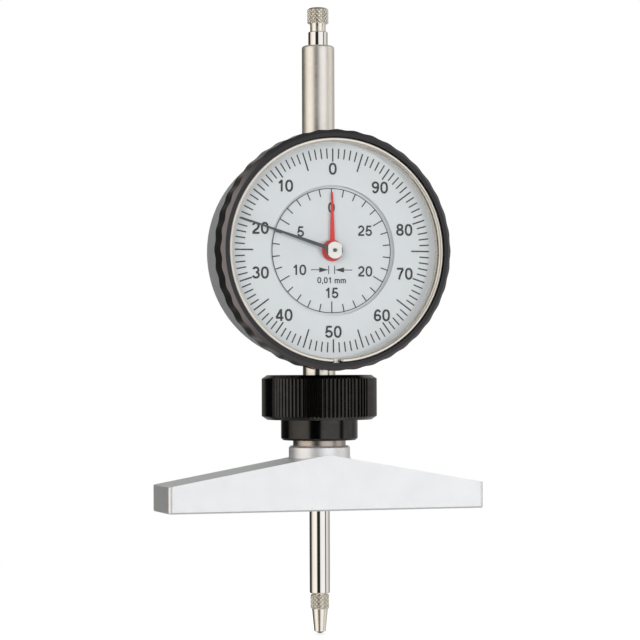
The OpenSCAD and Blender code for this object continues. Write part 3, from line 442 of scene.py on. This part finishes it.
def arc(cx, cz, rx, rz, start, end, power=2.0):
    """Points on an ellipse from start to end degrees; a power over 2 makes it squarer."""
    steps = max(4, int(abs(end - start) / 12))
    line = []
    for i in range(steps + 1):
        a = math.radians(start + (end - start) * i / steps)
        c, s = math.cos(a), math.sin(a)
        line.append((cx + rx * math.copysign(abs(c) ** (2 / power), c),
                     cz + rz * math.copysign(abs(s) ** (2 / power), s)))
    return line


SIX = [
    arc(0.005, 0.30, 0.235, 0.225, 90, 450),
    arc(0.03, 0.45, 0.26, 0.475, 200, 40),
]
# each figure: its width, and its strokes' centre lines, for a height of 1
GLYPHS = {
    "0": (0.75, [arc(0, 0.5, 0.25, 0.425, 90, 450, power=2.3)]),
    "1": (0.66, [[(0.07, 0.0), (0.07, 1.0)], [(-0.19, 0.745), (-0.06, 0.765), (0.01, 0.83), (0.05, 0.95)]]),
    "2": (0.75, [arc(-0.005, 0.68, 0.235, 0.245, 172, -28)
                 + [(0.12, 0.44), (-0.10, 0.28), (-0.215, 0.145), (-0.235, 0.07)],
                 [(-0.30, 0.075), (0.30, 0.075)]]),
    "3": (0.75, [arc(-0.01, 0.72, 0.215, 0.205, 165, -90), arc(-0.005, 0.295, 0.25, 0.22, 90, -168)]),
    "4": (0.75, [[(0.12, 0.0), (0.12, 1.0)], [(0.10, 0.95), (-0.28, 0.29)], [(-0.32, 0.265), (0.31, 0.265)]]),
    "5": (0.75, [[(0.25, 0.925), (-0.20, 0.925)],
                 [(-0.155, 0.93), (-0.21, 0.46)] + arc(-0.01, 0.32, 0.25, 0.245, 148, -168)]),
    "6": (0.75, SIX),
    "7": (0.75, [[(-0.29, 0.925), (0.28, 0.925)],
                 [(0.255, 0.90), (0.12, 0.66), (0.0, 0.40), (-0.07, 0.18), (-0.09, 0.0)]]),
    "8": (0.75, [arc(0, 0.735, 0.21, 0.195, 90, 450), arc(0, 0.29, 0.25, 0.215, 90, 450)]),
    "9": (0.75, [[(-x, 1 - z) for x, z in line] for line in SIX]),
    ",": (0.34, [[(0.0, 0.14), (0.0, 0.0), (-0.05, -0.14)]]),
    " ": (0.40, []),
    "m": (1.02, [[(-0.36, 0.0), (-0.36, 0.72)],
                 arc(-0.18, 0.45, 0.18, 0.20, 165, 0) + [(0.0, 0.0)],
                 arc(0.18, 0.45, 0.18, 0.20, 165, 0) + [(0.36, 0.0)]]),
}

# ---- printing on the two dials ----

SCALE_R = 24.6           # outer ends of the hundred-part scale's lines
MINOR, TEN, FIVE = 2.45, 3.2, 4.6          # lengths of its lines
FIFTH_WIDTH, MINOR_WIDTH = 0.35, 0.32
# the figures' places: angle from the top and radius, the same to the left and to the right
FIGURES = [(0, 19.7), (37.9, 19.5), (74.1, 18.95), (106.7, 19.05), (141.6, 19.9), (180, 19.6)]
FIGURE_H, FIGURE_WEIGHT = 2.85, 0.18       # the weight is the strokes' width over the height
INNER_R = 15.0          # circle of the thirty-part scale
INNER_MINOR, INNER_FIVE = 1.85, 2.75
INNER_LINE_WIDTH, CIRCLE_WIDTH = 0.28, 0.2
INNER_FIGURE_H, INNER_FIGURE_WEIGHT = 2.5, 0.175
INNER_FIGURE_RADII = (10.4, 9.0, 9.4, 10.2, 9.85, 9.85)    # from 0 to 25, counter-clockwise


def outer_scale():
    scale = Print("outer_scale_lines", DIAL_FRONT, "bezel")
    for i in range(100):
        length = TEN if i % 10 == 0 else FIVE if i % 5 == 0 else MINOR
        scale.radial(i * 3.6, SCALE_R - length, SCALE_R, FIFTH_WIDTH if i % 5 == 0 else MINOR_WIDTH)
    scale.finish()
    figures = Print("outer_scale_figures", DIAL_FRONT, "bezel")
    for i in range(10):
        turn, r = FIGURES[min(i, 10 - i)]
        a = math.radians(90 + (turn if i < 6 else -turn))
        figures.text(str(i * 10), r * math.cos(a), r * math.sin(a), FIGURE_H, FIGURE_WEIGHT)
    figures.finish()


def inner_scale():
    scale = Print("inner_scale_lines", INNER_FRONT, "head")
    scale.ring(INNER_R, CIRCLE_WIDTH)
    for i in range(30):
        length = INNER_FIVE if i % 5 == 0 else INNER_MINOR
        scale.radial(i * 12, INNER_R - length, INNER_R, INNER_LINE_WIDTH)
    scale.finish()
    figures = Print("inner_scale_figures", INNER_FRONT, "head")
    for i, r in enumerate(INNER_FIGURE_RADII):
        a = math.radians(90 + i * 60)
        figures.text(str(i * 5), r * math.cos(a), r * math.sin(a), INNER_FIGURE_H, INNER_FIGURE_WEIGHT)
    figures.finish()


def division_mark():
    """The usual mark for the value of one division: two arrows closing on a gap, over the value."""
    mark = Print("division_mark", INNER_FRONT, "head")
    z = -4.65
    gap, bar_h, reach, head_l, head_h = 0.75, 2.0, 4.5, 2.2, 0.62
    for side in (-1, 1):
        x0 = side * gap
        mark.stroke([(x0, z - bar_h / 2), (x0, z + bar_h / 2)], 0.22)
        mark.stroke([(x0 + side * 0.25, z), (x0 + side * reach, z)], 0.2)
        tip, base = x0 + side * 0.2, x0 + side * (0.2 + head_l)
        mark.strip([(tip, z + 0.03), (base, z + head_h)], [(tip, z - 0.03), (base, z - head_h)])
    mark.text("0,01 mm", 0, z - 2.5, 1.45, 0.19)
    mark.finish()


outer_scale()
inner_scale()
division_mark()

# ---- knurled pieces that replace plain CAD solids ----


KNURLED = knurled_nickel("knurled nickel", (1.0, 0.96, 0.86), 0.3)


def knurl(turn, rise):
    """Height of a diamond knurl, 0 in its grooves and 1 on its points; one groove to the next is 1."""
    def ridge(t):
        return min(1.0, 1.5 * abs((t % 1) - 0.5) * 2)
    return min(ridge(turn + rise), ridge(turn - rise))


def lathe(name, profile, body, slot, replaced, starts=16, steps=256, depth=0.24):
    """A turned piece about the spindle axis. The profile is a list of (radius, z, knurled) in millimetres.
    The knurl's rows are as far apart as its columns, so that both sets of grooves run through the points."""
    pitch = 2 * math.pi * max(r for r, z, k in profile) / steps
    rows = []
    for (r0, z0, k0), (r1, z1, k1) in zip(profile, profile[1:]):
        count = max(1, int(math.hypot(r1 - r0, z1 - z0) / pitch)) if k0 and k1 else 1
        for i in range(count):
            rows.append((r0, z0 + pitch * i, i * starts / steps if k0 and k1 else None))
    rows.append((*profile[-1][:2], None))
    points, faces, heights = [], [], []
    for r, z, rise in rows:
        for j in range(steps):
            a = 2 * math.pi * j / steps
            height = 1 if rise is None else knurl(j * starts / steps, rise)
            q = r - depth * (1 - height)
            points.append((q * MM * math.cos(a), q * MM * math.sin(a), z * MM))
            heights.append(height)
    for i in range(len(rows) - 1):
        for j in range(steps):
            a, b = i * steps + j, i * steps + (j + 1) % steps
            faces.append((a, b, b + steps, a + steps))
    faces.append(tuple(reversed(range(steps))))
    faces.append(tuple(range((len(rows) - 1) * steps, len(rows) * steps)))
    piece = mesh_piece(name, points, faces, body, slot, smooth_angle=18, look=KNURLED)
    piece.data.attributes.new("height", "FLOAT", "POINT").data.foreach_set("value", heights)
    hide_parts(replaced)


def lifting_cap():
    low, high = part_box("lifting_cap")
    top = high.z / MM
    r = (high.x - low.x) / 2 / MM
    head = 3.9
    neck_r, neck = 1.9, 2.0
    lathe("lifting_cap_knurled", [
        (1.25, low.z / MM, False), (1.25, top - head - neck, False), (neck_r, top - head - neck, False),
        (neck_r, top - head, False), (r - 0.25, top - head, False), (r, top - head + 0.22, True),
        (r, top - 0.55, True), (r - 0.2, top - 0.3, False), (r - 0.45, top - 0.12, False),
        (r - 0.8, top, False), (0.3, top - 0.05, False),
    ], "spindle", "nickel_plated", "lifting_cap")


def contact_point():
    low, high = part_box("contact_point")
    r = (high.x - low.x) / 2 / MM
    collar_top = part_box("spindle")[0].z / MM - 0.3
    collar_low = collar_top - 3.5
    tip = low.z / MM
    lathe("contact_point_knurled", [
        (1.1, tip + 0.05, False), (1.4, tip, False), (1.95, collar_low, False),
        (r - 0.25, collar_low, False), (r, collar_low + 0.2, True), (r, collar_top - 0.2, True),
        (r - 0.25, collar_top, False), (1.25, collar_top, False), (1.25, high.z / MM, False),
    ], "spindle", "nickel_plated", "contact_point", starts=14, steps=224)


lifting_cap()
contact_point()

# ---- floor, backdrop light and lamps ----


def floor():
    """A pale floor under the gauge's point. It keeps the shadow near the gauge, turns into the white
    backdrop further out, and lets shiny surfaces see the backdrop."""
    size, gap = 3.0, 0.0002
    fade_start, fade_end = 0.06, 0.24
    z = cad_box[0][2] - gap
    corners = [(-size, -size, z), (size, -size, z), (size, size, z), (-size, size, z)]
    data = bpy.data.meshes.new("floor")
    data.from_pydata(corners, [], [(0, 1, 2, 3)])
    plane = bpy.data.objects.new("floor", data)
    bpy.context.scene.collection.objects.link(plane)
    made = Material("floor", (0.80, 0.80, 0.80), roughness=0.9, specular=0.0)

    near_white = made.node("ShaderNodeEmission")
    near_white.inputs["Strength"].default_value = 0.5
    lit = made.node("ShaderNodeAddShader")
    made.link(made.shader.outputs["BSDF"], lit.inputs[0])
    made.link(near_white.outputs["Emission"], lit.inputs[1])
    white = made.node("ShaderNodeEmission")

    coord = made.node("ShaderNodeTexCoord")
    reach = made.node("ShaderNodeVectorMath", operation="LENGTH")
    made.link(coord.outputs["Object"], reach.inputs[0])
    fade = made.node("ShaderNodeMapRange", interpolation_type="SMOOTHSTEP")
    fade.inputs["From Min"].default_value = fade_start
    fade.inputs["From Max"].default_value = fade_end
    made.link(reach.outputs["Value"], fade.inputs["Value"])
    shown = made.node("ShaderNodeMixShader")
    made.link(fade.outputs["Result"], shown.inputs["Fac"])
    made.link(lit.outputs["Shader"], shown.inputs[1])
    made.link(white.outputs["Emission"], shown.inputs[2])

    path = made.node("ShaderNodeLightPath")
    by_camera = made.node("ShaderNodeMixShader")
    made.link(path.outputs["Is Camera Ray"], by_camera.inputs["Fac"])
    made.link(made.shader.outputs["BSDF"], by_camera.inputs[1])
    made.link(shown.outputs["Shader"], by_camera.inputs[2])
    mirrored = made.node("ShaderNodeMath", operation="MAXIMUM")
    made.link(path.outputs["Is Glossy Ray"], mirrored.inputs[0])
    made.link(path.outputs["Is Transmission Ray"], mirrored.inputs[1])
    clear = made.node("ShaderNodeBsdfTransparent")
    floor_out = made.node("ShaderNodeMixShader")
    made.link(mirrored.outputs[0], floor_out.inputs["Fac"])
    made.link(by_camera.outputs["Shader"], floor_out.inputs[1])
    made.link(clear.outputs["BSDF"], floor_out.inputs[2])
    made.link(floor_out.outputs["Shader"], made.tree.nodes["Material Output"].inputs["Surface"])
    data.materials.append(made.data)


# the studio as shiny surfaces see it: (heading in degrees, right of the front being positive; colour)
STUDIO = [
    (-180, (0.12, 0.11, 0.10)), (-160, (0.05, 0.05, 0.05)), (-127, (0.03, 0.03, 0.03)),
    (-115, (0.60, 0.56, 0.51)), (-98, (0.97, 0.91, 0.84)), (-60, (1.08, 1.03, 0.96)),
    (-50, (0.85, 0.80, 0.74)), (-45, (0.02, 0.02, 0.02)), (-15, (0.02, 0.02, 0.02)),
    (-10, (0.90, 0.90, 0.90)), (20, (0.98, 0.98, 0.99)), (44, (0.92, 0.92, 0.92)),
    (48, (0.06, 0.06, 0.06)), (57, (0.06, 0.06, 0.06)), (61, (0.85, 0.82, 0.79)),
    (88, (0.75, 0.72, 0.69)), (106, (0.36, 0.35, 0.34)), (150, (0.42, 0.42, 0.41)),
    (180, (0.34, 0.34, 0.33)),
]
# above and below, the same: (where the direction's Z starts and ends the fade; colour)
ABOVE_AND_BELOW = [(0.6, 0.9, (0.15, 0.15, 0.155)), (-0.6, -0.9, (0.33, 0.32, 0.31))]
AMBIENT = (0.60, 0.60, 0.60)    # the light that matt surfaces get from all round


def world():
    scene_world = bpy.data.worlds.new("studio")
    bpy.context.scene.world = scene_world
    scene_world.use_nodes = True
    tree = scene_world.node_tree
    tree.nodes.clear()

    def node(kind, **settings):
        made = tree.nodes.new(kind)
        for key, value in settings.items():
            setattr(made, key, value)
        return made

    coord = node("ShaderNodeTexCoord")
    axes = node("ShaderNodeSeparateXYZ")
    tree.links.new(coord.outputs["Generated"], axes.inputs["Vector"])
    front = node("ShaderNodeMath", operation="MULTIPLY")
    front.inputs[1].default_value = -1
    tree.links.new(axes.outputs["Y"], front.inputs[0])
    heading = node("ShaderNodeMath", operation="ARCTAN2")
    tree.links.new(axes.outputs["X"], heading.inputs[0])
    tree.links.new(front.outputs[0], heading.inputs[1])
    place = node("ShaderNodeMapRange")
    place.inputs["From Min"].default_value = -math.pi
    place.inputs["From Max"].default_value = math.pi
    tree.links.new(heading.outputs[0], place.inputs["Value"])
    ramp = node("ShaderNodeValToRGB")
    ramp.color_ramp.interpolation = "EASE"
    stops = ramp.color_ramp.elements
    while len(stops) < len(STUDIO):
        stops.new(0.5)
    for stop, (degrees, color) in zip(stops, STUDIO):
        stop.position = (degrees + 180) / 360
        stop.color = (*color, 1)
    tree.links.new(place.outputs["Result"], ramp.inputs["Fac"])

    shiny = ramp.outputs["Color"]
    for start, end, color in ABOVE_AND_BELOW:
        steep = node("ShaderNodeMapRange")
        steep.inputs["From Min"].default_value = start
        steep.inputs["From Max"].default_value = end
        tree.links.new(axes.outputs["Z"], steep.inputs["Value"])
        blend = node("ShaderNodeMix", data_type="RGBA")
        blend.inputs["B"].default_value = (*color, 1)
        tree.links.new(steep.outputs["Result"], blend.inputs["Factor"])
        tree.links.new(shiny, blend.inputs["A"])
        shiny = blend.outputs["Result"]

    path = node("ShaderNodeLightPath")
    plain = node("ShaderNodeMix", data_type="RGBA")
    plain.inputs["A"].default_value = (*AMBIENT, 1)
    tree.links.new(path.outputs["Is Glossy Ray"], plain.inputs["Factor"])
    tree.links.new(shiny, plain.inputs["B"])
    shown = node("ShaderNodeMix", data_type="RGBA")
    shown.inputs["B"].default_value = (1, 1, 1, 1)
    seen = node("ShaderNodeMath", operation="MAXIMUM")
    tree.links.new(path.outputs["Is Camera Ray"], seen.inputs[0])
    tree.links.new(path.outputs["Is Transmission Ray"], seen.inputs[1])
    tree.links.new(seen.outputs[0], shown.inputs["Factor"])
    tree.links.new(plain.outputs["Result"], shown.inputs["A"])
    background = node("ShaderNodeBackground")
    tree.links.new(shown.outputs["Result"], background.inputs["Color"])
    output = node("ShaderNodeOutputWorld")
    tree.links.new(background.outputs["Background"], output.inputs["Surface"])


def lamp(name, place, watts, size, color=(1, 1, 1)):
    """A soft square lamp that points at the middle of the gauge."""
    data = bpy.data.lights.new(name, "AREA")
    data.energy = watts
    data.size = size
    data.color = color
    made = bpy.data.objects.new(name, data)
    bpy.context.scene.collection.objects.link(made)
    made.location = place
    made.rotation_mode = "QUATERNION"
    made.rotation_quaternion = (MIDDLE - made.location).to_track_quat("-Z", "Y")
    made.visible_glossy = False


def camera():
    """The photograph's viewing angle: from the left and a little below the dial's centre."""
    azimuth, elevation, roll = (math.radians(a) for a in (-17.8, -1.1, -0.2))
    distance = 0.60
    target = Vector((0.00027, 0, 0.04636))      # what the middle of the photograph shows
    pixels_per_mm, frame_pixels, sensor = 4.08, 640, 36.0
    data = bpy.data.cameras.new("camera")
    data.sensor_width = sensor
    data.lens = pixels_per_mm * distance / MM * sensor / frame_pixels
    data.clip_start, data.clip_end = 0.05, 20
    made = bpy.data.objects.new("camera", data)
    bpy.context.scene.collection.objects.link(made)
    back = Vector((math.sin(azimuth) * math.cos(elevation), -math.cos(azimuth) * math.cos(elevation),
                   math.sin(elevation)))
    made.location = target + back * distance
    made.rotation_mode = "QUATERNION"
    made.rotation_quaternion = Quaternion(back, roll) @ (-back).to_track_quat("-Z", "Y")
    bpy.context.scene.camera = made


MIDDLE = Vector((0, 0, (cad_box[0][2] + cad_box[1][2]) / 2))

floor()
world()
lamp("left", (-0.60, -0.82, 0.20), 4.6, 0.5, (1.0, 0.98, 0.95))
lamp("right", (0.46, -0.92, -0.01), 4.6, 0.1)
lamp("top", (0.05, 0.25, 0.95), 2.0, 0.7)
camera()
bpy.context.scene.view_settings.view_transform = "Standard"
